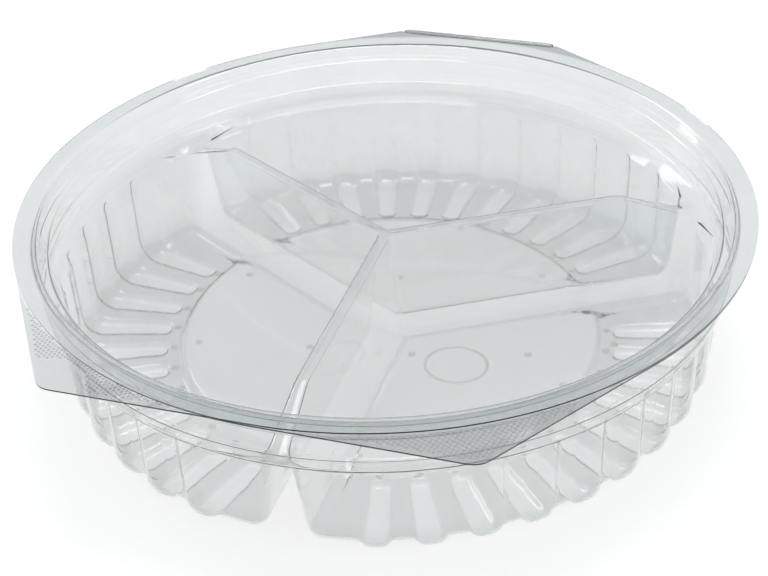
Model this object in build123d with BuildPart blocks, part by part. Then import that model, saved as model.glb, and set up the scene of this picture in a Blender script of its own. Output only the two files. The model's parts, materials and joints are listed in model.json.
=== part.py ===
"""Round three-compartment food container with a hinged lid, thermoformed from one clear PET sheet.

Frame: millimetres, +Z up, +Y towards the living hinge, origin on the rim's axis at the foot plane.
The closed lid is the rest position.
"""
import os
from math import acos, atan2, cos, degrees, hypot, radians, sin, sqrt

from build123d import *

os.makedirs("parts", exist_ok=True)

# ---- sheet and overall size ----
sheet = 0.4                 # gauge of the formed sheet
height = 47.5               # foot plane to the top of the lid's flange
rim_radius = 100.0          # outer radius of both flanges
flange_gap = 0.1            # air between the closed flanges

# ---- flanges, finger tabs and hinge ----
tab_reach = 113.4           # rim's axis to the sharp corner of a finger tab
tab_rounding = 3.5
lid_tab_azimuth = 242.0
tray_tab_azimuth = 298.0
hinge_half_length = 26.0
hinge_land = 101.3          # Y where both flanges end and the rolled hinge begins
hinge_corner_rounding = 1.5
hinge_axis_y = 102.0
hinge_bead_radius = 0.95

# ---- lid section: plug, ledge, recess and panel ----
plug_radius_top = 94.4
plug_radius_low = 94.1
ledge_level = 44.3
ledge_inner_radius = 91.6
ledge_drop = 0.4
panel_radius = 89.8
panel_level = 36.6          # underside of the lid's flat panel

# ---- tray collar: from the flange down to the ledge above the flutes ----
collar_radius_top = 95.4
collar_radius_low = 93.9
collar_level = 30.6
shoulder_radius = 91.8
shoulder_level = 27.5
shoulder_inner_radius = 89.0

# ---- fluted wall and floor, measured on the underside of the sheet ----
wall_radius = 89.8          # valleys between the flutes
flutes = 11                 # per compartment, on the wall and as ribs under the floor
flute_pitch = 9.0           # degrees
flute_depth = 1.6
flute_half_width = 4.2
rib_half_width = 3.3
rib_inner_radius = 63.0     # where each flute's rib ends under the floor
foot_rounding = 5.4
land_level = flute_depth    # floor between the ribs; the ribs stand on the foot plane
plateau_level = 4.3
plateau_radius = 58.0
plateau_slope_run = 3.0
floor_top = land_level + foot_rounding

# ---- dividers: folds that are open below ----
divider_azimuths = {"front": 270.0, "left": 150.0, "right": 30.0}
compartment_azimuths = {"back": 90.0, "left": 210.0, "right": 330.0}
crest_level = 36.0
crest_end_radius = 68.0
ridge_half_width = 1.25
divider_foot_half_width = 5.9

tray_flange_level = height - 2 * sheet - flange_gap
lid_flange_level = height - sheet


def save(piece, name):
    """Label one finished piece and write its STEP file."""
    piece.part.label = name
    export_step(piece.part, f"parts/{name}.step")


def polar(radius, azimuth):
    return (radius * cos(radians(azimuth)), radius * sin(radians(azimuth)))


def ring(name, section):
    """Turn a closed section of (radius, level) points round the rim's axis."""
    with BuildPart() as turned:
        with BuildSketch(Plane.XZ):
            with BuildLine():
                Polyline(*section, close=True)
            make_face()
        revolve(axis=Axis.Z)
    if name:
        save(turned, name)
    return turned


def tangent_point(corner, side):
    """Where the straight side from a corner outside the rim meets the rim's circle."""
    distance = hypot(*corner)
    turn = degrees(acos(rim_radius / distance))
    return polar(rim_radius, degrees(atan2(corner[1], corner[0])) + side * turn)


def flange(name, level, bore_radius, tab_azimuth):
    """Flat flange with one finger tab and a straight land for the hinge."""
    tab_corner = polar(tab_reach, tab_azimuth)
    hinge_right = (hinge_half_length, hinge_land)
    hinge_left = (-hinge_half_length, hinge_land)
    with BuildPart() as plate:
        with BuildSketch(Plane.XY.offset(level)) as outline:
            Circle(rim_radius)
            with BuildLine():
                Polyline((0, 0), tangent_point(tab_corner, -1), tab_corner,
                         tangent_point(tab_corner, 1), close=True)
            make_face()
            with BuildLine():
                Polyline((0, 0), tangent_point(hinge_right, -1), hinge_right, hinge_left,
                         tangent_point(hinge_left, 1), close=True)
            make_face()
            corners = outline.vertices().sort_by_distance((0, 0, level))
            fillet(corners[-1], radius=tab_rounding)
            corners = outline.vertices().filter_by_position(Axis.Y, hinge_land - 0.01, hinge_land + 0.01)
            fillet(corners, radius=hinge_corner_rounding)
            Circle(bore_radius, mode=Mode.SUBTRACT)
        extrude(amount=sheet)
    save(plate, name)


def sector(azimuth, low, high):
    """A 120 degree prism centred on an azimuth, used to part the tray into its pieces."""
    far = 2 * rim_radius
    with BuildPart() as prism:
        with BuildSketch(Plane.XY.offset(low)):
            with BuildLine():
                Polyline((0, 0), polar(far, azimuth - 60), polar(far, azimuth + 60), close=True)
            make_face()
        extrude(amount=high - low)
    return prism


def divider_wedge(inset):
    """Solid wedge under one divider's crest, lying along +X; inset 0 gives its food side."""
    lean = (divider_foot_half_width - ridge_half_width) / (crest_level - land_level)
    foot = divider_foot_half_width + lean * land_level - inset
    tip = ridge_half_width - inset
    crest = crest_level - inset
    with BuildPart() as wedge:
        with BuildSketch(Plane.YZ):
            with BuildLine():
                Polyline((-foot, 0), (foot, 0), (tip, crest), (-tip, crest), close=True)
            make_face()
        extrude(amount=wall_radius)
        with BuildSketch(Plane.XZ.offset(-rim_radius)):
            with BuildLine():
                Polyline((crest_end_radius, crest), (shoulder_inner_radius, shoulder_level - inset),
                         (rim_radius, shoulder_level - inset), (rim_radius, height),
                         (crest_end_radius, height), close=True)
            make_face()
        extrude(amount=2 * rim_radius, mode=Mode.SUBTRACT)
    return wedge


def divider_star(inset):
    """The three wedges together, a Y seen from above, cut to the round of the outer wall."""
    wedge = divider_wedge(inset)
    with BuildPart() as star:
        with PolarLocations(0, 3, start_angle=divider_azimuths["right"]):
            add(wedge.part)
        with BuildSketch():
            Circle(wall_radius)
        extrude(amount=height, mode=Mode.INTERSECT)
    return star


def flute_lens(inset):
    """Plan of one flute standing proud of the wall, on +X."""
    half_width = flute_half_width - inset
    start = sqrt(wall_radius**2 - flute_half_width**2)
    crest = wall_radius + flute_depth - inset
    with BuildSketch() as lens:
        with BuildLine():
            ThreePointArc((start - inset, -half_width), (crest, 0), (start - inset, half_width))
            Polyline((start - inset, half_width), (start - 1.5, half_width), (start - 1.5, -half_width),
                     (start - inset, -half_width))
        make_face()
    return lens


def fluted_disc(inset):
    """Plan inside the sheet of a fluted wall centred on +X."""
    lens = flute_lens(inset)
    swing = flute_pitch * (flutes - 1)
    with BuildSketch() as disc:
        Circle(wall_radius - inset)
        with PolarLocations(0, flutes, start_angle=-swing / 2, angular_range=swing, endpoint=True):
            add(lens.sketch)
    return disc


def fluted_wall():
    """Fluted wall of one compartment, centred on +X, with a sole under every flute."""
    outside = fluted_disc(0)
    inside = fluted_disc(sheet)
    with BuildPart() as wall:
        with BuildSketch(Plane.XY.offset(floor_top)):
            add(outside.sketch)
            add(inside.sketch, mode=Mode.SUBTRACT)
        extrude(amount=shoulder_level - floor_top)
        with BuildSketch(Plane.XY.offset(floor_top)):
            add(outside.sketch)
            Circle(wall_radius - sheet, mode=Mode.SUBTRACT)
        extrude(amount=sheet)
        add(sector(0, 0, height).part, mode=Mode.INTERSECT)
        add(food_side.part, rotation=(0, 0, -compartment_azimuths["left"]), mode=Mode.SUBTRACT)
    return wall


def floor_section(inset):
    """Closed section under the floor and up its rounding; inset 0 gives the underside."""
    edge = wall_radius - inset
    floor = land_level + inset
    with BuildPart() as body:
        with BuildSketch(Plane.XZ):
            with BuildLine():
                Line((0, plateau_level + inset), (plateau_radius + inset / 2, plateau_level + inset))
                Line((plateau_radius + inset / 2, plateau_level + inset),
                     (plateau_radius + plateau_slope_run + inset / 2, floor))
                Line((plateau_radius + plateau_slope_run + inset / 2, floor),
                     (wall_radius - foot_rounding, floor))
                RadiusArc((wall_radius - foot_rounding, floor), (edge, floor_top), -(foot_rounding - inset))
                Polyline((edge, floor_top), (0, floor_top), (0, plateau_level + inset))
            make_face()
        revolve(axis=Axis.Z)
    return body


def ribbed_floor():
    """Floor of one compartment, centred on +X: plateau, gutter and the ribs that are its feet."""
    under = floor_section(0)
    over = floor_section(sheet)
    swing = flute_pitch * (flutes - 1)
    length = wall_radius - foot_rounding - rib_inner_radius
    middle = rib_inner_radius + length / 2
    with BuildPart() as floor:
        add(under.part)
        add(over.part, mode=Mode.SUBTRACT)
        with BuildSketch():
            with PolarLocations(middle, flutes, start_angle=-swing / 2, angular_range=swing, endpoint=True):
                Rectangle(length, 2 * rib_half_width)
        extrude(amount=land_level + sheet)
        with BuildSketch(Plane.XY.offset(sheet)):
            with PolarLocations(middle, flutes, start_angle=-swing / 2, angular_range=swing, endpoint=True):
                Rectangle(length - 2 * sheet, 2 * (rib_half_width - sheet))
        extrude(amount=land_level, mode=Mode.SUBTRACT)
        add(sector(0, 0, height).part, mode=Mode.INTERSECT)
        add(food_side.part, rotation=(0, 0, -compartment_azimuths["left"]), mode=Mode.SUBTRACT)
    return floor


# ---- lid ----
flange("lid_flange", lid_flange_level, plug_radius_top - sheet, lid_tab_azimuth)
plug = [(plug_radius_top, lid_flange_level), (plug_radius_low, ledge_level - sheet),
        (ledge_inner_radius, ledge_level - sheet - ledge_drop)]
plug_inside = [(ledge_inner_radius - sheet, ledge_level - ledge_drop),
               (plug_radius_low - sheet, ledge_level), (plug_radius_top - sheet, lid_flange_level)]
ring("lid_rim_plug", plug + plug_inside)
ring("lid_recess_wall", [plug[-1], (panel_radius, panel_level), (panel_radius - sheet, panel_level),
                         plug_inside[0]])
with BuildPart() as lid_panel:
    with BuildSketch(Plane.XY.offset(panel_level)):
        Circle(panel_radius - sheet)
    extrude(amount=sheet)
save(lid_panel, "lid_panel")

# ---- tray rim ----
flange("tray_flange", tray_flange_level, collar_radius_top - sheet, tray_tab_azimuth)
ring("tray_collar", [(collar_radius_top, tray_flange_level), (collar_radius_low, collar_level),
                     (shoulder_radius, shoulder_level), (shoulder_inner_radius, shoulder_level),
                     (shoulder_inner_radius, shoulder_level + sheet),
                     (shoulder_radius - sheet, shoulder_level + sheet),
                     (collar_radius_low - sheet, collar_level + sheet),
                     (collar_radius_top - sheet, tray_flange_level)])

# ---- tray: dividers first, then the walls and floors that meet them ----
food_side = divider_star(0)
under_side = divider_star(sheet)
under_floor = ring(None, [(0, 0), (plateau_radius + plateau_slope_run, 0),
                          (plateau_radius + plateau_slope_run, land_level),
                          (plateau_radius, plateau_level), (0, plateau_level)])
for side, azimuth in divider_azimuths.items():
    with BuildPart() as divider:
        add(food_side.part)
        add(under_side.part, mode=Mode.SUBTRACT)
        add(under_floor.part, mode=Mode.SUBTRACT)
        add(sector(azimuth, land_level, height).part, mode=Mode.INTERSECT)
    save(divider, f"divider_{side}")

wall_form = fluted_wall()
floor_form = ribbed_floor()
for side, azimuth in compartment_azimuths.items():
    with BuildPart() as wall:
        add(wall_form.part, rotation=(0, 0, azimuth))
    save(wall, f"wall_{side}")
    with BuildPart() as floor:
        add(floor_form.part, rotation=(0, 0, azimuth))
    save(floor, f"floor_{side}")

# ---- living hinge: a rolled bead of the same sheet between the two flanges ----
hinge_level = height - sheet - flange_gap / 2
with BuildPart() as living_hinge:
    with BuildSketch(Plane.YZ.offset(-hinge_half_length + hinge_corner_rounding)):
        with Locations((hinge_axis_y, hinge_level)):
            Circle(hinge_bead_radius)
            Circle(hinge_bead_radius - sheet, mode=Mode.SUBTRACT)
        with Locations((hinge_land, hinge_level)):
            Rectangle(4 * hinge_bead_radius, 4 * hinge_bead_radius, align=(Align.MAX, Align.CENTER),
                      mode=Mode.SUBTRACT)
    extrude(amount=2 * (hinge_half_length - hinge_corner_rounding))
save(living_hinge, "living_hinge")
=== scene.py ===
"""Looks of the clear hinged three-compartment container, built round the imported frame.

Lengths are in millimetres until they are written to a mesh, which is in metres.
"""
import json
from math import acos, asin, atan2, cos, degrees, hypot, pi, radians, sin, sqrt

import bmesh
import bpy
import numpy as np
from mathutils import Matrix, Vector


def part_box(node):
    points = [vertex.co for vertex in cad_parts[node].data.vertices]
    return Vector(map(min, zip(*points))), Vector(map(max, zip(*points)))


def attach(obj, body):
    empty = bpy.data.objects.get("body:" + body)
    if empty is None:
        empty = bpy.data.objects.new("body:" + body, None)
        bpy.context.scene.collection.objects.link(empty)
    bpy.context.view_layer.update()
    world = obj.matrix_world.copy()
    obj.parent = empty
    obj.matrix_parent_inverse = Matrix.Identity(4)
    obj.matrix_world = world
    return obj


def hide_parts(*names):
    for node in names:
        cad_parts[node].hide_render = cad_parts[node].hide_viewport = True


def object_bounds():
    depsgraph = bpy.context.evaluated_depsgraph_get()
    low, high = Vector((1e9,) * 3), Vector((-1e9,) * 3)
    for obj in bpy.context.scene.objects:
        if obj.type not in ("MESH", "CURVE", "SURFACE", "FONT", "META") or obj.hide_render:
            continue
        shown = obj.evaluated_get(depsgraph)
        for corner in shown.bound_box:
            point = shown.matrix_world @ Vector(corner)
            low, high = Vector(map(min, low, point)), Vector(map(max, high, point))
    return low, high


MM = 0.001
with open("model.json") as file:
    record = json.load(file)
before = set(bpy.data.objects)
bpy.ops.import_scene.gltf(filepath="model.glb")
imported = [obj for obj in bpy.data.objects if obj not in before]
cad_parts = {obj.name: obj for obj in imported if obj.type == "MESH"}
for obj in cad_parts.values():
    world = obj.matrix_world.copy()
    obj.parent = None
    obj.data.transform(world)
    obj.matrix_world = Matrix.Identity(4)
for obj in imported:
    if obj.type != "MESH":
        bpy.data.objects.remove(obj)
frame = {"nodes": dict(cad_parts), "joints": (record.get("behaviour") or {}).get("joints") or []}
cad_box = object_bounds()


def node_box(node):
    """A CAD node's lowest and highest corners in millimetres."""
    low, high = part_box(node)
    return [v / MM for v in low], [v / MM for v in high]


# ---- levels and radii that come from the frame ----
RIM_RADIUS = node_box("lid_flange")[1][0]
HINGE_LAND = node_box("tray_flange")[1][1]
LID_FLANGE = node_box("lid_flange")[0][2]
TRAY_FLANGE = node_box("tray_flange")[0][2]
PANEL_LEVEL = node_box("lid_panel")[0][2]
CREST_LEVEL = node_box("divider_front")[1][2]
SHOULDER_LEVEL = node_box("tray_collar")[0][2]
COLLAR_RADIUS = node_box("tray_collar")[1][0]
PLUG_RADIUS = node_box("lid_rim_plug")[1][0]
HINGE = next(joint for joint in frame["joints"] if joint["name"] == "lid_hinge")

SHEET = 0.4                 # gauge of the sheet

# ---- flanges: angles in degrees, counted from +X ----
FLANGE_RUN = 3.0            # flat part of the flange inside the round rim
TAB_REACH = 113.4
TAB_ROUNDING = 5.5
TAB_LEAN = degrees(acos(RIM_RADIUS / TAB_REACH))
LID_TAB = 242.0             # azimuth of each flange's finger tab
TRAY_TAB = 298.0
HINGE_HALF = 26.0
HINGE_CORNER = degrees(atan2(HINGE_LAND, HINGE_HALF))
HINGE_LEAN = degrees(acos(RIM_RADIUS / hypot(HINGE_HALF, HINGE_LAND)))

# ---- tray below the flange, on the underside of the sheet ----
COLLAR_STEP = (41.2, 42.0)  # levels of the small step under the flange
SNAP_BEAD_LEVEL = 34.2
COLLAR_LOW_RADIUS = 93.9
COLLAR_LOW_LEVEL = 30.6
SEAT_RADIUS = 91.8          # where the three compartments meet the shoulder
SEAT_LEVEL = SHOULDER_LEVEL + 1.0
FLUTES = 11
FLUTE_PITCH = 9.0
FLUTE_HALF = 2.9            # degrees
FLUTE_DEPTH = 1.9
WALL_FOOT = 88.8
WALL_TOP = 89.5
FOOT_ROUNDING = 5.6
LAND_LEVEL = 1.5
RIB_DEPTH = 1.5
RIB_END = 63.5
RIB_RUN = 2.4
PLATEAU_LEVEL = 4.3
PLATEAU_RADIUS = 58.0
PLATEAU_RUN = 3.2
COMPARTMENTS = (90.0, 210.0, 330.0)     # azimuths of their middles

# ---- dividers ----
CREST_END = 68.0
SADDLE_RADIUS = 88.6
RIDGE_HALF = 1.6
DIVIDER_FOOT_HALF = 5.5
DIVIDER_ROUNDING = 3.0
CREST_ROUNDING = 0.4
CORNER_RADIUS = 5.0
APEX_RADIUS = 3.0

# ---- lid below its flange, on the underside of the sheet ----
LEDGE_HIGH = 43.9
LEDGE_LOW = 43.5
LEDGE_RADIUS = 91.6
RECESS_INSET = 4.6          # from the plug to the foot of the recess wall
PANEL_RINGS = (86.0, 70.0, 50.0, 30.0, 12.0, 3.0)

# ---- rolled hinge bead ----
HINGE_INSET = 1.5           # from the end of the hinge land to the end of the bead
HINGE_TAPER = 3.0           # length of the bead's narrowing ends
HINGE_STRAIGHT = 5.0        # from the bead's end to its even part
HINGE_OPENING = 28.0        # degrees left open above and below the flanges' edges

# ---- fine relief: dots, ridges, pips and the ring ----
DOT_PITCH = 1.2
DOT_ROW_RISE = 0.866        # rows of a triangular lattice, as a share of the pitch
DOT_RADIUS, DOT_HEIGHT = 0.38, 0.1
DOT_MARGIN = 1.4            # plain strip inside the tab's edge
DOT_FREE_CORNER = 11.4      # plain patch round the tab's corner
KNURL_PITCH = 1.15
KNURL_LEAN = 40.0           # degrees to each side of the tab's own direction
KNURL_STEP = 0.5            # spacing of the tests along a ridge
KNURL_HALF, KNURL_HEIGHT = 0.22, 0.022
KNURL_MARGIN = 1.3
RELIEF_START = RIM_RADIUS + 0.5         # the tabs' relief lies outside this radius
PIP_RADIUS, PIP_HEIGHT = 1.15, 0.12
PIP_INSET = 1.4             # from a rib's inner end to its pip
PLATEAU_PIPS = {                        # distance from the axis, degrees from the middle
    90.0: ((50.8, -46.2), (54.7, -6.8), (24.4, 10.5)),
    210.0: ((50.8, -46.2), (54.7, -6.8), (24.4, 10.5)),
    330.0: ((41.9, 24.3), (15.8, -19.3), (56.0, 14.4), (64.2, 39.3))}
RING_CENTRE = (23.6, -13.6)
RING_REACH = (8.7, 8.0)     # half length and half width of the oval
RING_HALF, RING_HEIGHT = 0.45, 0.12


def smoothstep(x):
    """0 to 1 with level ends, as x goes from 0 to 1."""
    x = np.clip(x, 0.0, 1.0)
    return x * x * (3 - 2 * x)


def polar(radius, azimuth):
    """Plan point at a radius and an azimuth in degrees."""
    return np.array((radius * cos(radians(azimuth)), radius * sin(radians(azimuth))))


def rounded_section(corners, steps=6):
    """Open run of (radius, level) points; each corner is (radius, level, rounding)."""
    run = [np.array(corners[0][:2], float)]
    for before, corner, after in zip(corners, corners[1:], corners[2:]):
        here = np.array(corner[:2], float)
        back = np.array(before[:2], float) - here
        on = np.array(after[:2], float) - here
        back /= np.linalg.norm(back)
        on /= np.linalg.norm(on)
        half = acos(np.clip(back @ on, -1, 1)) / 2
        rounding = corner[2]
        if rounding <= 0:
            run.append(here)
            continue
        reach = rounding / np.tan(half)
        middle = here + (back + on) / np.linalg.norm(back + on) * rounding / sin(half)
        first = here + back * reach - middle
        last = here + on * reach - middle
        sweep = acos(np.clip(first @ last / rounding**2, -1, 1))
        for k in range(steps + 1):
            a = sweep * k / steps
            run.append(middle + (first * sin(sweep - a) + last * sin(a)) / sin(sweep))
    run.append(np.array(corners[-1][:2], float))
    return run


# ---- outline of a flange ----
def corner_distance(turn, lean, reach, rounding):
    """Distance of a tangent-sided corner's edge from the axis, turn degrees from the corner."""
    lean_rad = radians(lean)
    middle = reach - rounding / cos(lean_rad)
    touch = degrees(atan2(rounding * sin(lean_rad), middle + rounding * cos(lean_rad)))
    if turn < touch:
        across = middle * sin(radians(turn))
        return middle * cos(radians(turn)) + sqrt(rounding**2 - across**2)
    return RIM_RADIUS / cos(radians(lean - turn))


def edge_distance(azimuth, tab):
    """Distance of the flange's edge from the axis at an azimuth, for a flange with one tab."""
    turn = abs((azimuth - tab + 180) % 360 - 180)
    if turn < TAB_LEAN:
        return corner_distance(turn, TAB_LEAN, TAB_REACH, TAB_ROUNDING)
    from_back = abs((azimuth - 90 + 180) % 360 - 180)
    corner_turn = 90 - HINGE_CORNER
    if from_back <= corner_turn:
        return HINGE_LAND / cos(radians(from_back))
    if from_back < corner_turn + HINGE_LEAN:
        return RIM_RADIUS / cos(radians(corner_turn + HINGE_LEAN - from_back))
    return RIM_RADIUS


def with_corner_samples(azimuths):
    """Adds azimuths where a tab's or the hinge land's corner needs them."""
    extra = []
    for tab in (LID_TAB, TRAY_TAB):
        extra += list(tab + np.linspace(-1.0, 1.0, 13))
        extra += [tab - TAB_LEAN, tab + TAB_LEAN]
    for side in (-1, 1):
        corner = 90 + side * (90 - HINGE_CORNER)
        extra += [corner, corner - side * 0.2, corner + side * 0.2, corner + side * HINGE_LEAN]
    values = sorted(set(np.round(np.array(list(azimuths) + extra) % 360, 4)))
    kept = [values[0]]
    for value in values[1:]:
        if value - kept[-1] > 0.04:
            kept.append(value)
    return kept


# ---- meshes ----
class Surface:
    """Vertices and faces of one sheet, collected in millimetres and welded at the end."""

    def __init__(self):
        self.points = []
        self.faces = []

    def row(self, points):
        """Adds points and returns their numbers."""
        start = len(self.points)
        self.points += [tuple(p) for p in points]
        return list(range(start, start + len(points)))

    def strip(self, a, b, closed=False):
        """Quads between two rows of the same length."""
        count = len(a) if closed else len(a) - 1
        for i in range(count):
            j = (i + 1) % len(a)
            self.faces.append((a[i], a[j], b[j], b[i]))

    def fan(self, centre, row):
        """Triangles from a closed row to one point."""
        for i in range(len(row)):
            self.faces.append((row[i], row[(i + 1) % len(row)], centre))

    def to_object(self, name, weld=0.004):
        """A smooth-shaded object with points nearer than weld merged."""
        mesh = bpy.data.meshes.new(name)
        mesh.from_pydata([tuple(c * MM for c in p) for p in self.points], [], self.faces)
        mesh.validate()
        form = bmesh.new()
        form.from_mesh(mesh)
        bmesh.ops.remove_doubles(form, verts=form.verts, dist=weld * MM)
        bmesh.ops.dissolve_degenerate(form, edges=form.edges, dist=weld * MM)
        bmesh.ops.recalc_face_normals(form, faces=form.faces)
        form.to_mesh(mesh)
        form.free()
        mesh.polygons.foreach_set("use_smooth", [True] * len(mesh.polygons))
        piece = bpy.data.objects.new(name, mesh)
        bpy.context.scene.collection.objects.link(piece)
        return piece


def apply_modifier(piece, modifier):
    bpy.context.view_layer.objects.active = piece
    bpy.ops.object.select_all(action="DESELECT")
    piece.select_set(True)
    bpy.ops.object.modifier_apply(modifier=modifier.name)


def thicken(piece):
    """Gives a sheet its gauge upwards from the underside that it was built as, and splits hard edges."""
    mesh = piece.data
    below = Vector((0, 0, -1))
    nearest = min(mesh.polygons, key=lambda f: (f.center - below).length)
    if nearest.normal.z > 0:
        mesh.flip_normals()
    solid = piece.modifiers.new("gauge", "SOLIDIFY")
    solid.thickness = SHEET * MM
    solid.offset = -1.0
    solid.use_even_offset = False
    solid.use_quality_normals = True
    # the cut edges take the second material, which paints shade on them
    solid.material_offset_rim = 1
    apply_modifier(piece, solid)
    edges = piece.modifiers.new("edges", "EDGE_SPLIT")
    edges.split_angle = radians(50)
    piece.data.polygons.foreach_set("use_smooth", [True] * len(piece.data.polygons))


# ---- one compartment, centred on +X, as stations round its outline ----
HALF_TURN = 60.0            # degrees from a compartment's middle to its dividers
HALF = radians(HALF_TURN)
SIDE_FACING = 150.0         # azimuth from a rounded corner's centre to the divider beside it
ALONG = np.array((cos(HALF), sin(HALF)))        # outwards along the upper divider
INTO = np.array((sin(HALF), -cos(HALF)))        # from the upper divider into the compartment
EDGE_TURN = 49.5            # flutes end inside this azimuth, measured from the compartment's middle
PLAIN_TURN = 99.0           # an azimuth that has no flute and no rib
RIB_FULL = 80.0             # a radius where the ribs have their full depth
SIDE_SHARES = np.concatenate((np.linspace(0, 0.72, 20), np.linspace(0.75, 1, 9)))
CORNER_SHARES = np.linspace(0, 1, 9)[1:-1]
APEX_SHARES = np.linspace(0, 1, 9)[1:-1]
FLOOR_RINGS = (82, 80, 77, 74, 71, 69, 67.6, 66.8, 66.2, 65.6, 65, 64.4, 63.8, 63.2, 62.6, 62,
               61.4, 60.9, 60.3, 59.7, 59.1, 58.6, 58.2, 57.6, 56.8)
RING_STEP = 0.1             # each floor ring's sides lie this much further from the dividers
RING_CORNER_END = 1.2       # corner radius of the innermost floor ring


def lobe(turn):
    """Height of the flutes' section at an azimuth from the compartment's middle, 0 to 1."""
    nearest = round(turn / FLUTE_PITCH)
    if abs(nearest) > FLUTES // 2:
        return 0.0
    x = abs(turn - nearest * FLUTE_PITCH) / FLUTE_HALF
    return max(0.0, 1 - x**2.2) if x < 1 else 0.0


def rib(turn, radius):
    """Height of the floor ribs at a place on the floor, 0 to 1."""
    nearest = round(turn / FLUTE_PITCH)
    if abs(nearest) > FLUTES // 2:
        return 0.0
    x = abs(turn - nearest * FLUTE_PITCH) / FLUTE_HALF
    y = max(0.0, (RIB_END + RIB_RUN - radius) / RIB_RUN)
    return float(smoothstep((1 - hypot(x, y)) / 0.5))


def wall_radius(level):
    """The wall between the flutes, which leans out a little."""
    share = (level - LAND_LEVEL) / (SHOULDER_LEVEL - LAND_LEVEL)
    return WALL_FOOT + share * (WALL_TOP - WALL_FOOT)


def shoulder_radius(level):
    """Cone of the shoulder, which the wall runs into at its top."""
    return SEAT_RADIUS - (SEAT_LEVEL - level) * 1.25


def half_gap(level):
    """From a divider's middle plane to its side; the dividers narrow upwards."""
    share = (level - LAND_LEVEL) / (CREST_LEVEL - LAND_LEVEL)
    return DIVIDER_FOOT_HALF + share * (RIDGE_HALF - SHEET - DIVIDER_FOOT_HALF)


def deck_level(radius):
    """Underside of the divider crest: flat, then down to the saddle, then up to the shoulder."""
    crest = CREST_LEVEL - SHEET
    saddle = SHOULDER_LEVEL - 0.3
    if radius <= CREST_END:
        return crest
    if radius <= SADDLE_RADIUS:
        share = (radius - CREST_END) / (SADDLE_RADIUS - CREST_END)
        return crest + (saddle - crest) * share
    share = (radius - SADDLE_RADIUS) / (SEAT_RADIUS - SADDLE_RADIUS)
    return saddle + (SEAT_LEVEL - saddle) * share


def floor_level(radius, turn):
    """Underside of the floor: lands, ribs and the raised plateau."""
    rise = smoothstep((PLATEAU_RADIUS + PLATEAU_RUN - radius) / PLATEAU_RUN)
    return LAND_LEVEL + (PLATEAU_LEVEL - LAND_LEVEL) * rise - RIB_DEPTH * rib(turn, radius)


def outer_turns(compartment):
    """Azimuths of the wall's stations, from the compartment's middle, falling."""
    base = np.linspace(-EDGE_TURN, EDGE_TURN, 177)
    extra = [(value - compartment + 180) % 360 - 180 for value in with_corner_samples([0.0])]
    extra = [value for value in extra if abs(value) < EDGE_TURN]
    values = sorted(set(np.round(list(base) + extra, 4)), reverse=True)
    kept = [values[0]]
    for value in values[1:-1]:
        if kept[-1] - value > 0.05:
            kept.append(value)
    kept.append(values[-1])
    return kept


def outline(turns, gap, radius, corner, apex):
    """Plan points of every station: upper side, corner, wall, corner, lower side, apex."""
    middle = sqrt((radius - corner)**2 - (gap + corner)**2)
    corner_centre = middle * ALONG + (gap + corner) * INTO
    corner_end = degrees(HALF) - degrees(asin((gap + corner) / (radius - corner)))
    apex_centre = np.array(((gap + apex) / sin(HALF), 0))
    side_start = (gap + apex) / np.tan(HALF)
    upper = [(side_start + share * (middle - side_start)) * ALONG + gap * INTO for share in SIDE_SHARES]
    for share in CORNER_SHARES:
        angle = SIDE_FACING + share * (corner_end - SIDE_FACING)
        upper.append(corner_centre + polar(corner, angle))
    bound = min(EDGE_TURN - 2.0, corner_end - 1.5)
    stretch = []
    for turn in turns:
        beyond = max(0.0, abs(turn) - bound) * (corner_end - bound) / (EDGE_TURN - bound)
        stretch.append(polar(radius, np.sign(turn) * (min(abs(turn), bound) + beyond)))
    lower = [p * (1, -1) for p in reversed(upper)]
    tip = [apex_centre + polar(apex, 360 - SIDE_FACING - HALF_TURN * share) for share in APEX_SHARES]
    return np.array(upper + stretch + lower + tip)


def station_kinds(turns):
    """For every station: what it is, its share or azimuth, and its side, 1 upper and -1 lower."""
    upper = [("side", share, 1) for share in SIDE_SHARES] + [("corner", share, 1) for share in CORNER_SHARES]
    wall = [("wall", turn, 0) for turn in turns]
    lower = [(kind, share, -1) for kind, share, _ in reversed(upper)]
    tip = [("apex", share, 0) for share in APEX_SHARES]
    return upper + wall + lower + tip


def corner_seat_turn(share):
    """Azimuth on the shoulder's circle where the outer half of a corner ends, for shares from 0.5."""
    return HALF_TURN - (HALF_TURN - EDGE_TURN) * (share - 0.5) / 0.5


def seat_points(kinds, top):
    """Where each station's crest strip ends: on the divider's middle line or on the shoulder's circle."""
    ends = []
    upper_side = [float(top[i] @ ALONG) for i, k in enumerate(kinds) if k[0] == "side" and k[2] > 0]
    side_top = max(upper_side)
    side_low = min(upper_side)
    for (kind, share, side), point in zip(kinds, top):
        flip = np.array((1, side if side else 1))
        if kind == "side":
            ends.append(float((point * flip) @ ALONG) * ALONG * flip)
        elif kind == "corner" and share <= 0.5:
            ends.append((side_top + (SEAT_RADIUS - side_top) * share / 0.5) * ALONG * flip)
        elif kind == "corner":
            ends.append(polar(SEAT_RADIUS, corner_seat_turn(share)) * flip)
        elif kind == "wall":
            ends.append(polar(SEAT_RADIUS, share))
        else:
            reach = side_low * abs(share - 0.5) / 0.5
            ends.append(reach * ALONG * np.array((1, -1 if share < 0.5 else 1)))
    return np.array(ends)


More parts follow.
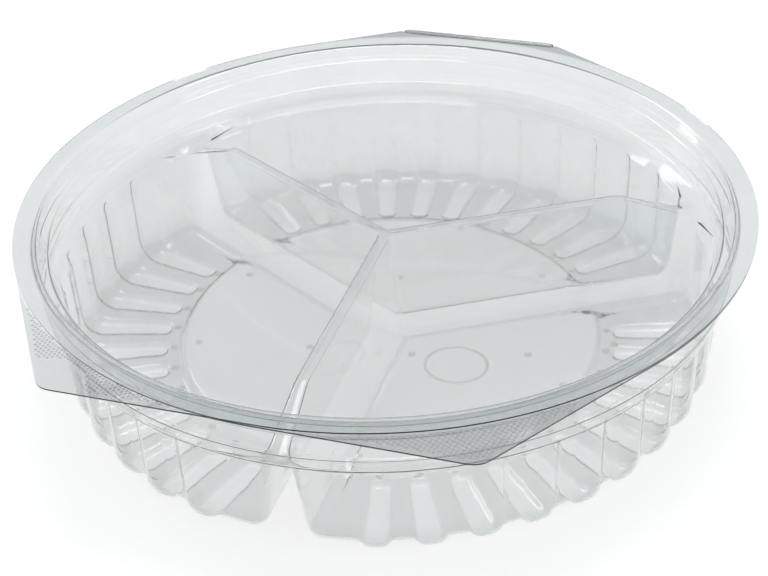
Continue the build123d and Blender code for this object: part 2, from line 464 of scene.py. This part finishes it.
def compartment(surface, azimuth):
    """Adds one compartment's wall, foot and floor, and its half of each divider crest."""
    turns = outer_turns(azimuth)
    kinds = station_kinds(turns)
    turn_of = [share if kind == "wall" else PLAIN_TURN for kind, share, _ in kinds]
    on_wall = np.array([kind == "wall" for kind, _, _ in kinds])
    share_of_wall = np.array([1.0 if kind == "wall" else share if kind == "corner" else 0.0
                              for kind, share, _ in kinds])
    rounding = DIVIDER_ROUNDING + (FOOT_ROUNDING - DIVIDER_ROUNDING) * smoothstep(share_of_wall)
    lobes = np.array([lobe(turn) for turn in turn_of])
    spin = np.array(((cos(radians(azimuth)), -sin(radians(azimuth))),
                     (sin(radians(azimuth)), cos(radians(azimuth)))))

    def place(plan, levels):
        """Points of the whole container from plan points of this compartment."""
        turned = np.asarray(plan) @ spin.T
        return [(x, y, z) for (x, y), z in zip(turned, levels)]

    def at(levels, retreat):
        """Outline with each station at its own level and set in by its own retreat."""
        plan = np.zeros((len(kinds), 2))
        for level, back in set(zip(np.round(levels, 5), np.round(retreat, 5))):
            ring = outline(turns, half_gap(level) + back, wall_radius(level) - back,
                           max(CORNER_RADIUS - back, 0.6), APEX_RADIUS)
            chosen = (np.abs(levels - level) < 2e-5) & (np.abs(retreat - back) < 2e-5)
            plan[chosen] = ring[chosen]
        return plan

    rows = []
    # crest strip: from the divider's middle line or the shoulder down to the top of the wall
    start_levels = np.full(len(kinds), CREST_LEVEL - SHEET)
    top_plan = at(start_levels, np.zeros(len(kinds)))
    tops = np.array([deck_level(hypot(*p)) for p in top_plan])
    tops[on_wall] = SHOULDER_LEVEL + 0.1
    top_plan = at(np.round(tops, 3), np.zeros(len(kinds)))
    ends = seat_points(kinds, top_plan)
    end_levels = [deck_level(min(hypot(*p), SEAT_RADIUS)) for p in ends]
    rows.append(surface.row(place(ends, end_levels)))

    def wall_ring(levels, retreat):
        """A ring of the wall, with the flutes and the shoulder's cone pushed out."""
        plan = at(np.round(levels, 3), np.round(retreat, 3))
        out = np.linalg.norm(plan, axis=1)
        wanted = np.maximum(out + FLUTE_DEPTH * lobes, shoulder_radius(levels))
        plan = np.where(on_wall[:, None], plan * (wanted / out)[:, None], plan)
        return place(plan, levels)

    # rounded edge of the crest, for the stations beside a divider
    for bend in (75, 50, 25, 0):
        lift = np.where(on_wall, 0.0, CREST_ROUNDING * (1 - sin(radians(bend))))
        out = np.where(on_wall, 0.0, -CREST_ROUNDING * (1 - cos(radians(bend))))
        levels = tops - lift - np.where(on_wall, (75 - bend) / 75 * CREST_ROUNDING, 0.0)
        rows.append(surface.row(wall_ring(levels, out)))
    below = tops - CREST_ROUNDING
    foot = LAND_LEVEL + rounding
    for share in (0.06, 0.12, 0.2, 0.35, 0.5, 0.65, 0.8, 0.92, 1.0):
        levels = below + (foot - below) * share
        rows.append(surface.row(wall_ring(levels, np.zeros(len(kinds)))))

    # rounding into the floor; the flutes turn under with it and become the ribs
    lands = np.full(len(kinds), LAND_LEVEL)
    inner = at(np.round(lands, 3), np.round(rounding, 3))
    inner_level = np.array([floor_level(hypot(*p), PLAIN_TURN) for p in inner])
    rise = inner_level - LAND_LEVEL
    ribs = np.array([rib(turn, RIB_FULL) if w else 0.0 for turn, w in zip(turn_of, on_wall)])
    for bend in (15, 30, 45, 60, 75, 90):
        a = radians(bend)
        base_level = LAND_LEVEL + rounding * (1 - sin(a)) + rise * smoothstep(bend / 90)
        retreat = rounding * (1 - cos(a))
        plan = at(np.round(lands + rounding * (1 - sin(a)), 3), np.round(retreat, 3))
        out = np.linalg.norm(plan, axis=1)
        section = lobes * (1 - smoothstep(bend / 90)) + ribs * smoothstep(bend / 90)
        depth = FLUTE_DEPTH + (RIB_DEPTH - FLUTE_DEPTH) * bend / 90
        plan = plan * ((out + depth * section * cos(a)) / out)[:, None]
        rows.append(surface.row(place(plan, base_level - depth * section * sin(a))))

    # floor: rings of the same outline, closing on the plateau, which is one flat face
    gap = half_gap(LAND_LEVEL) + DIVIDER_ROUNDING
    for ring, radius in enumerate(FLOOR_RINGS):
        corner = CORNER_RADIUS - (CORNER_RADIUS - RING_CORNER_END) * ring / (len(FLOOR_RINGS) - 1)
        plan = outline(turns, gap + RING_STEP * (ring + 1), radius, corner, APEX_RADIUS)
        levels = [floor_level(hypot(*p), degrees(atan2(p[1], p[0]))) for p in plan]
        rows.append(surface.row(place(plan, levels)))
    for a, b in zip(rows, rows[1:]):
        surface.strip(a, b, closed=True)
    surface.faces.append(tuple(rows[-1]))


def rim_azimuths():
    """Azimuths of every station on the shoulder's circle, rising from 0 to 360."""
    values = []
    for azimuth in COMPARTMENTS:
        values += [azimuth + turn for turn in outer_turns(azimuth)]
        for share in CORNER_SHARES:
            if share >= 0.5:
                turn = corner_seat_turn(share)
                values += [azimuth + turn, azimuth - turn]
    values = sorted(value % 360 for value in values)
    kept = [values[0]]
    for value in values[1:]:
        if value - kept[-1] > 0.002:
            kept.append(value)
    return kept


def flange_row(surface, azimuths, tab, level, share):
    """A row of a flat flange, from its start at share 0 to its trimmed edge at share 1."""
    points = []
    for a in azimuths:
        run = share * (edge_distance(a, tab) - RIM_RADIUS + FLANGE_RUN)
        points.append((*polar(RIM_RADIUS - FLANGE_RUN + run, a), level))
    return surface.row(points)


def tray_sheet():
    """The whole tray as one continuous sheet."""
    surface = Surface()
    for azimuth in COMPARTMENTS:
        compartment(surface, azimuth)
    azimuths = rim_azimuths()
    bead = SNAP_BEAD_LEVEL
    section = rounded_section([
        (SEAT_RADIUS, SEAT_LEVEL, 0),
        (COLLAR_LOW_RADIUS, COLLAR_LOW_LEVEL, 1.4),
        (COLLAR_LOW_RADIUS + 0.1, bead - 1.2, 1.0),
        (COLLAR_LOW_RADIUS + 0.5, bead, 0.9),
        (COLLAR_LOW_RADIUS + 0.3, bead + 1.2, 1.0),
        (COLLAR_RADIUS - 0.6, COLLAR_STEP[0], 0.4),
        (COLLAR_RADIUS - 0.2, COLLAR_STEP[1], 0.4),
        (COLLAR_RADIUS, TRAY_FLANGE, 0.7),
        (RIM_RADIUS - FLANGE_RUN, TRAY_FLANGE, 0)], steps=4)
    rows = [surface.row([(*polar(radius, a), level) for a in azimuths]) for radius, level in section]
    for share in (0.2, 0.5, 0.8, 1.0):
        rows.append(flange_row(surface, azimuths, TRAY_TAB, TRAY_FLANGE, share))
    for a, b in zip(rows, rows[1:]):
        surface.strip(a, b, closed=True)
    return surface.to_object("tray_sheet")


def lid_sheet():
    """The whole lid as one continuous sheet."""
    surface = Surface()
    azimuths = with_corner_samples(np.arange(0, 360, 0.75))
    section = rounded_section([
        (RIM_RADIUS - FLANGE_RUN, LID_FLANGE, 0),
        (PLUG_RADIUS, LID_FLANGE, 0.7),
        (PLUG_RADIUS - 0.3, LEDGE_HIGH, 0.6),
        (LEDGE_RADIUS, LEDGE_LOW, 0.5),
        (PLUG_RADIUS - RECESS_INSET, PANEL_LEVEL, 0.9),
        (PANEL_RINGS[0], PANEL_LEVEL, 0)], steps=5)
    rows = []
    for share in (1.0, 0.8, 0.5, 0.2):
        rows.append(flange_row(surface, azimuths, LID_TAB, LID_FLANGE, share))
    rows += [surface.row([(*polar(radius, a), level) for a in azimuths]) for radius, level in section]
    for radius in PANEL_RINGS[1:]:
        rows.append(surface.row([(*polar(radius, a), PANEL_LEVEL) for a in azimuths]))
    for a, b in zip(rows, rows[1:]):
        surface.strip(a, b, closed=True)
    middle = surface.row([(0, 0, PANEL_LEVEL)])[0]
    surface.fan(middle, rows[-1])
    return surface.to_object("lid_sheet")


def hinge_sheet():
    """The living hinge: a rolled bead with puckered ends, from the tray's flange round to the lid's."""
    axis = [v / MM for v in HINGE["pos_m"]]
    bead = node_box("living_hinge")[1][2] - axis[2] - SHEET / 2
    half = HINGE_HALF - HINGE_INSET
    straight = half - HINGE_STRAIGHT
    surface = Surface()
    rows = []
    for x in np.concatenate((np.linspace(-half, -half + HINGE_TAPER, 7),
                             np.linspace(-straight, straight, 21),
                             np.linspace(half - HINGE_TAPER, half, 7))):
        end = min(1.0, (half - abs(x)) / HINGE_TAPER)
        size = bead * (0.55 + 0.45 * sqrt(max(0.0, 1 - (1 - end)**2)))
        # the roll is a little uneven along its length
        wave = 0.05 * sin(x * 2.4) + 0.04 * sin(x * 5.1 + 1)
        rows.append(surface.row([
            (x, axis[1] - (bead - size) + (size + wave * sin(radians(a) / 2)) * cos(radians(a)),
             axis[2] + size * sin(radians(a)))
            for a in np.linspace(-180 + HINGE_OPENING, 180 - HINGE_OPENING, 25)]))
    for a, b in zip(rows, rows[1:]):
        surface.strip(a, b)
    piece = surface.to_object("hinge_bead", weld=0.001)
    solid = piece.modifiers.new("gauge", "SOLIDIFY")
    solid.thickness = SHEET * MM
    solid.offset = 0.0
    apply_modifier(piece, solid)
    return piece


# ---- materials ----
def add_node(material, kind, values=None, **settings):
    """A new shader node with its settings and the values of its sockets."""
    node = material.node_tree.nodes.new(kind)
    for setting, value in settings.items():
        setattr(node, setting, value)
    for socket, value in (values or {}).items():
        node.inputs[socket].default_value = value
    return node


def clear_pet(name, roughness, ripple, rim_tones, inner_tones, foot_light_and_shade=None):
    """Clear sheet: slow tonal drift between two tones, fine forming marks and a rippled gloss.

    Two pairs of tones are blended by distance from the axis. Tones by height, where given, paint
    light and shade near the table: painted light on the feet that touch it, the clearest, and
    painted shade on the lands between them, the greyest.
    """
    material = bpy.data.materials.new(name)
    material.use_nodes = True
    links = material.node_tree.links
    shader = material.node_tree.nodes["Principled BSDF"]
    shader.inputs["IOR"].default_value = 1.57
    shader.inputs["Transmission Weight"].default_value = 1.0
    place = add_node(material, "ShaderNodeTexCoord")
    slow = add_node(material, "ShaderNodeTexNoise", {"Scale": 45.0, "Detail": 3.0})
    fine = add_node(material, "ShaderNodeTexNoise", {"Scale": 1400.0, "Detail": 2.0})
    for texture in (slow, fine):
        links.new(place.outputs["Object"], texture.inputs["Vector"])

    # two pairs of tones, blended by distance from the axis
    flatten = add_node(material, "ShaderNodeVectorMath", {1: (1, 1, 0)}, operation="MULTIPLY")
    distance = add_node(material, "ShaderNodeVectorMath", operation="LENGTH")
    inner_to_outer = add_node(material, "ShaderNodeMapRange",
                     {"From Min": TONE_INNER_RADIUS * MM, "From Max": TONE_OUTER_RADIUS * MM})
    colour = add_node(material, "ShaderNodeMix", data_type="RGBA")
    links.new(place.outputs["Object"], flatten.inputs[0])
    links.new(flatten.outputs[0], distance.inputs[0])
    links.new(distance.outputs["Value"], inner_to_outer.inputs["Value"])
    links.new(inner_to_outer.outputs["Result"], colour.inputs["Factor"])
    for socket, (dark, pale) in (("A", inner_tones), ("B", rim_tones)):
        tone = add_node(material, "ShaderNodeMix", {"A": (*dark, 1), "B": (*pale, 1)}, data_type="RGBA")
        links.new(slow.outputs["Fac"], tone.inputs["Factor"])
        links.new(tone.outputs["Result"], colour.inputs[socket])

    # what stands out beyond the round rim is darker
    beyond = add_node(material, "ShaderNodeMapRange",
                      {"From Min": RIM_RADIUS * MM, "From Max": (RIM_RADIUS + 1.0) * MM})
    tab = add_node(material, "ShaderNodeMix", {"B": (*TAB_TONE, 1)}, data_type="RGBA", blend_type="MULTIPLY")
    links.new(distance.outputs["Value"], beyond.inputs["Value"])
    links.new(beyond.outputs["Result"], tab.inputs["Factor"])
    links.new(colour.outputs["Result"], tab.inputs["A"])
    last = tab.outputs["Result"]

    # painted light and shade by height: lightest on the feet that touch the table, greyest on the lands
    # between them
    if foot_light_and_shade:
        split = add_node(material, "ShaderNodeSeparateXYZ")
        level = add_node(material, "ShaderNodeMapRange", {"From Max": FOOT_SHADING_TOP * MM})
        ramp = add_node(material, "ShaderNodeValToRGB")
        for _ in foot_light_and_shade[2:]:
            ramp.color_ramp.elements.new(0.5)
        for stop, (share, tone) in zip(ramp.color_ramp.elements, foot_light_and_shade):
            stop.position = share
            stop.color = (tone, tone, tone, 1)
        shade = add_node(material, "ShaderNodeMix", {"Factor": 1.0}, data_type="RGBA", blend_type="MULTIPLY")
        links.new(place.outputs["Object"], split.inputs[0])
        links.new(split.outputs["Z"], level.inputs["Value"])
        links.new(level.outputs["Result"], ramp.inputs["Fac"])
        links.new(last, shade.inputs["A"])
        links.new(ramp.outputs["Color"], shade.inputs["B"])
        last = shade.outputs["Result"]
    links.new(last, shader.inputs["Base Color"])

    # roughness from the fine noise, bump from both
    gloss = add_node(material, "ShaderNodeMapRange", {
        "From Min": 0.35, "From Max": 0.65, "To Min": roughness * 0.5, "To Max": roughness * 1.5})
    height = add_node(material, "ShaderNodeMath", {1: 0.02}, operation="MULTIPLY_ADD")
    bump = add_node(material, "ShaderNodeBump", {"Strength": ripple, "Distance": 0.001})
    links.new(fine.outputs["Fac"], gloss.inputs["Value"])
    links.new(gloss.outputs["Result"], shader.inputs["Roughness"])
    links.new(fine.outputs["Fac"], height.inputs[0])
    links.new(slow.outputs["Fac"], height.inputs[2])
    links.new(height.outputs[0], bump.inputs["Height"])
    links.new(bump.outputs["Normal"], shader.inputs["Normal"])
    return material


def relief_shade_veil(name, tone, cover):
    """Thin veil of painted shade and painted glints for relief too fine to bend light: knurls, pips and the
    embossed ring.
    """
    material = bpy.data.materials.new(name)
    material.use_nodes = True
    links = material.node_tree.links
    shader = material.node_tree.nodes["Principled BSDF"]
    shader.inputs["Roughness"].default_value = 0.2
    shader.inputs["Alpha"].default_value = cover
    place = add_node(material, "ShaderNodeTexCoord")
    speckle = add_node(material, "ShaderNodeTexNoise", {"Scale": 260.0})
    # dark and pale specks: painted shade and painted glints on the relief
    ramp = add_node(material, "ShaderNodeValToRGB")
    dark, pale = ramp.color_ramp.elements
    dark.position = 0.35
    dark.color = (tone * 0.6, tone * 0.63, tone * 0.63, 1)
    pale.position = 0.65
    pale.color = (tone * 1.3, tone * 1.34, tone * 1.34, 1)
    links.new(place.outputs["Object"], speckle.inputs["Vector"])
    links.new(speckle.outputs["Fac"], ramp.inputs["Fac"])
    links.new(ramp.outputs["Color"], shader.inputs["Base Color"])
    return material


def dress(piece, materials, body, nodes):
    """Gives a piece its materials and its body, and hides the CAD nodes that it stands for."""
    piece.data.materials.clear()
    for material in materials:
        piece.data.materials.append(material)
    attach(piece, body)
    if nodes:
        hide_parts(*nodes)


# ---- knurls, pips and the ring on the floor ----
def tab_side_gap(x, y, tab):
    """How far inside a tab's edge a point is, measured along its own radius."""
    return edge_distance(degrees(atan2(y, x)), tab) - hypot(x, y)


def domes(name, places, radius, height):
    """Small low domes at (x, y, level)."""
    surface = Surface()
    sides = 10
    for x, y, level in places:
        rows = []
        for share in (1.0, 0.82, 0.5):
            rows.append(surface.row([(x + radius * share * cos(2 * pi * k / sides),
                                      y + radius * share * sin(2 * pi * k / sides),
                                      level + height * (1 - share**2)) for k in range(sides)]))
        low = surface.row([(px, py, level - 0.05) for px, py, _ in (surface.points[i] for i in rows[0])])
        surface.strip(low, rows[0], closed=True)
        surface.strip(rows[0], rows[1], closed=True)
        surface.strip(rows[1], rows[2], closed=True)
        surface.fan(surface.row([(x, y, level + height)])[0], rows[2])
        surface.faces.append(tuple(reversed(low)))
    return surface.to_object(name, weld=0.0005)


def lid_tab_dots():
    """A triangular lattice of dots on the lid's finger tab, apart from its plain edge and corner."""
    corner = polar(TAB_REACH, LID_TAB)
    along = polar(1.0, LID_TAB + 90)
    out = polar(1.0, LID_TAB)
    places = []
    for i in range(-60, 61):
        for j in range(-60, 61):
            sideways = i * DOT_PITCH + 0.5 * DOT_PITCH * (j % 2)
            x, y = 106.0 * out + sideways * along + j * DOT_PITCH * DOT_ROW_RISE * out
            if hypot(x, y) < RELIEF_START or tab_side_gap(x, y, LID_TAB) < DOT_MARGIN:
                continue
            turn = abs(degrees(atan2(y, x)) % 360 - LID_TAB)
            if turn > TAB_LEAN or hypot(x - corner[0], y - corner[1]) < DOT_FREE_CORNER:
                continue
            places.append((x, y, LID_FLANGE + SHEET - 0.01))
    return domes("lid_tab_dots", places, DOT_RADIUS, DOT_HEIGHT)


def ridge(surface, ends, level, half, height):
    """A low ridge of triangular section between two plan points."""
    (ax, ay), (bx, by) = ends
    length = hypot(bx - ax, by - ay)
    nx, ny = -(by - ay) / length * half, (bx - ax) / length * half
    rows = [surface.row([(x - nx, y - ny, level), (x, y, level + height), (x + nx, y + ny, level)])
            for x, y in (ends[0], ends[1])]
    surface.strip(rows[0], rows[1], closed=True)
    surface.faces.append(tuple(rows[0]))
    surface.faces.append(tuple(reversed(rows[1])))


def tray_tab_knurl():
    """Two crossing families of fine ridges on the tray's finger tab."""
    surface = Surface()
    level = TRAY_FLANGE + SHEET - 0.01
    origin = polar(105.0, TRAY_TAB)
    for lean in (KNURL_LEAN, -KNURL_LEAN):
        direction = polar(1.0, TRAY_TAB + lean)
        across = polar(1.0, TRAY_TAB + lean + 90)
        for line in range(-50, 51):
            inside = []
            for step in range(-90, 91):
                x, y = origin + line * KNURL_PITCH * across + step * KNURL_STEP * direction
                turn = abs(degrees(atan2(y, x)) % 360 - TRAY_TAB)
                good = (hypot(x, y) > RELIEF_START and turn < TAB_LEAN
                        and tab_side_gap(x, y, TRAY_TAB) > KNURL_MARGIN)
                if good:
                    inside.append((x, y))
                if inside and (not good or step == 90):
                    if len(inside) > 1:
                        ridge(surface, (inside[0], inside[-1]), level, KNURL_HALF, KNURL_HEIGHT)
                    inside = []
    return surface.to_object("tray_tab_knurl", weld=0.0005)


def vent_pips():
    """Pips at the inner end of every rib and on the plateaus."""
    places = []
    for azimuth in COMPARTMENTS:
        for k in range(-(FLUTES // 2), FLUTES // 2 + 1):
            places.append((*polar(RIB_END - PIP_INSET, azimuth + k * FLUTE_PITCH), LAND_LEVEL + SHEET - 0.02))
        for reach, turn in PLATEAU_PIPS[azimuth]:
            places.append((*polar(reach, azimuth + turn), floor_level(reach, PLAIN_TURN) + SHEET - 0.02))
    return domes("vent_pips", places, PIP_RADIUS, PIP_HEIGHT)


def floor_ring():
    """A plain oval ring embossed on one plateau."""
    surface = Surface()
    centre = np.array(RING_CENTRE)
    sides = 72
    rows = []
    for k in range(sides):
        a = 2 * pi * k / sides
        row = []
        for arch in (0, 60, 120, 180):
            offset = -RING_HALF * cos(radians(arch))
            x, y = centre + (np.array(RING_REACH) + offset) * (cos(a), sin(a))
            row.append((x, y, PLATEAU_LEVEL + SHEET - 0.03 + RING_HEIGHT * sin(radians(arch))))
        rows.append(surface.row(row))
    for a, b in zip(rows, rows[1:] + rows[:1]):
        surface.strip(a, b, closed=True)
    return surface.to_object("floor_ring", weld=0.0005)


# ---- the container: each pair of tones is a dark and a pale one ----
TONE_INNER_RADIUS, TONE_OUTER_RADIUS = 80.0, 88.0    # radii between which the inner tones give way to the rim tones
TRAY_INNER_TONES = ((0.972, 0.983, 0.982), (0.99, 0.995, 0.994))
TRAY_RIM_TONES = ((0.82, 0.84, 0.838), (0.875, 0.89, 0.888))
TAB_TONE = (0.80, 0.81, 0.81)
LID_TONES = ((0.84, 0.86, 0.858), (0.88, 0.895, 0.893))
LID_RIM_TONES = ((0.925, 0.942, 0.941), (0.965, 0.977, 0.976))
# dark tones for the sheet's cut edges: painted shade for the dark line along a clear sheet's edge
EDGE_SHADE_TONES = ((0.40, 0.44, 0.44), (0.54, 0.58, 0.575))
FOOT_SHADING_TOP = 8.0         # the level at share 1 of the tones below, as (share, tone)
# painted light on the feet that touch the table, painted shade on the lands between them
FOOT_LIGHT_AND_SHADE = ((0.0, 1.0), (0.08, 1.0), (0.17, 0.87), (0.46, 0.87), (0.54, 0.97), (0.9, 1.0))
tray_pet = clear_pet("tray_pet", 0.04, 0.05, TRAY_RIM_TONES, TRAY_INNER_TONES, FOOT_LIGHT_AND_SHADE)
lid_pet = clear_pet("lid_pet", 0.03, 0.04, LID_RIM_TONES, LID_TONES)
# painted shade on the cut edges
shaded_cut_edge = clear_pet("shaded_cut_edge", 0.25, 0.3, EDGE_SHADE_TONES, EDGE_SHADE_TONES)
# veils of painted shade and painted glints over the fine relief
dot_relief = relief_shade_veil("dot_relief", 0.25, 0.20)
knurl_relief = relief_shade_veil("knurl_relief", 0.30, 0.07)
pip_relief = relief_shade_veil("pip_relief", 0.25, 0.11)
ring_relief = relief_shade_veil("ring_relief", 0.75, 0.14)

tray = tray_sheet()
thicken(tray)
dress(tray, (tray_pet, shaded_cut_edge), "tray",
      [n for n in frame["nodes"] if n.startswith(("tray_", "wall_", "floor_", "divider_"))])
lid = lid_sheet()
thicken(lid)
dress(lid, (lid_pet, shaded_cut_edge), "lid", [n for n in frame["nodes"] if n.startswith("lid_")])
dress(hinge_sheet(), (tray_pet,), "tray", ["living_hinge"])
dress(lid_tab_dots(), (dot_relief,), "lid", [])
dress(tray_tab_knurl(), (knurl_relief,), "tray", [])
dress(vent_pips(), (pip_relief,), "tray", [])
dress(floor_ring(), (ring_relief,), "tray", [])


# ---- floor, light and camera, in metres ----
FLOOR_DROP = 0.0002         # keeps the floor just clear of the feet
FLOOR_TONE = 0.34
FLOOR_GLOW = 0.78
SKY_TONE = (0.93, 0.96, 0.97)
SKY_STRENGTH = 0.56
CAMERA_PLACE = (0.1203, -0.3526, 0.2730)
CAMERA_SWING, CAMERA_DIP, CAMERA_ROLL = 19.0, 34.42, -2.78      # degrees
LENS = 74.8


def stage_floor():
    """A pale floor that glows a little, so that it stays near white beside the object."""
    bpy.ops.mesh.primitive_plane_add(size=8.0)
    floor = bpy.context.object
    floor.name = "studio_floor"
    floor.location.z = cad_box[0][2] - FLOOR_DROP
    material = bpy.data.materials.new("pale_floor")
    material.use_nodes = True
    shader = material.node_tree.nodes["Principled BSDF"]
    shader.inputs["Base Color"].default_value = (FLOOR_TONE, FLOOR_TONE, FLOOR_TONE, 1)
    shader.inputs["Roughness"].default_value = 1.0
    shader.inputs["Specular IOR Level"].default_value = 0.0
    shader.inputs["Emission Color"].default_value = (1, 1, 1, 1)
    shader.inputs["Emission Strength"].default_value = FLOOR_GLOW
    floor.data.materials.append(material)


def soft_box(name, place, size, power, aim=(0, 0, 0.02)):
    """A rectangular light that faces the object."""
    data = bpy.data.lights.new(name, "AREA")
    data.shape = "RECTANGLE"
    data.size, data.size_y = size
    data.energy = power
    light = bpy.data.objects.new(name, data)
    light.location = place
    light.rotation_euler = (Vector(aim) - Vector(place)).to_track_quat("-Z", "Y").to_euler()
    bpy.context.scene.collection.objects.link(light)


def studio():
    """The floor, three soft boxes and a pale sky."""
    stage_floor()
    soft_box("overhead", (0.0, 0.25, 1.5), (0.7, 0.7), 7)
    soft_box("left_window", (-1.3, 0.4, 0.9), (0.3, 0.9), 3.5)
    soft_box("right_window", (1.3, -0.1, 0.9), (0.3, 0.8), 2.5)
    world = bpy.data.worlds.new("studio")
    world.use_nodes = True
    sky = world.node_tree.nodes["Background"]
    sky.inputs["Color"].default_value = (*SKY_TONE, 1)
    sky.inputs["Strength"].default_value = SKY_STRENGTH
    bpy.context.scene.world = world


def camera():
    """Three-quarter view from the front right, a little rolled."""
    data = bpy.data.cameras.new("view")
    data.lens = LENS
    data.sensor_width = 36.0
    data.clip_end = 50
    item = bpy.data.objects.new("view", data)
    item.matrix_world = (Matrix.Translation(CAMERA_PLACE)
                         @ Matrix.Rotation(radians(CAMERA_SWING), 4, "Z")
                         @ Matrix.Rotation(radians(90 - CAMERA_DIP), 4, "X")
                         @ Matrix.Rotation(radians(CAMERA_ROLL), 4, "Z"))
    bpy.context.scene.collection.objects.link(item)
    bpy.context.scene.camera = item


studio()
camera()
scene = bpy.context.scene
scene.view_settings.view_transform = "Standard"
scene.cycles.max_bounces = 26
scene.cycles.transmission_bounces = 26
scene.cycles.glossy_bounces = 5
scene.cycles.use_denoising = True
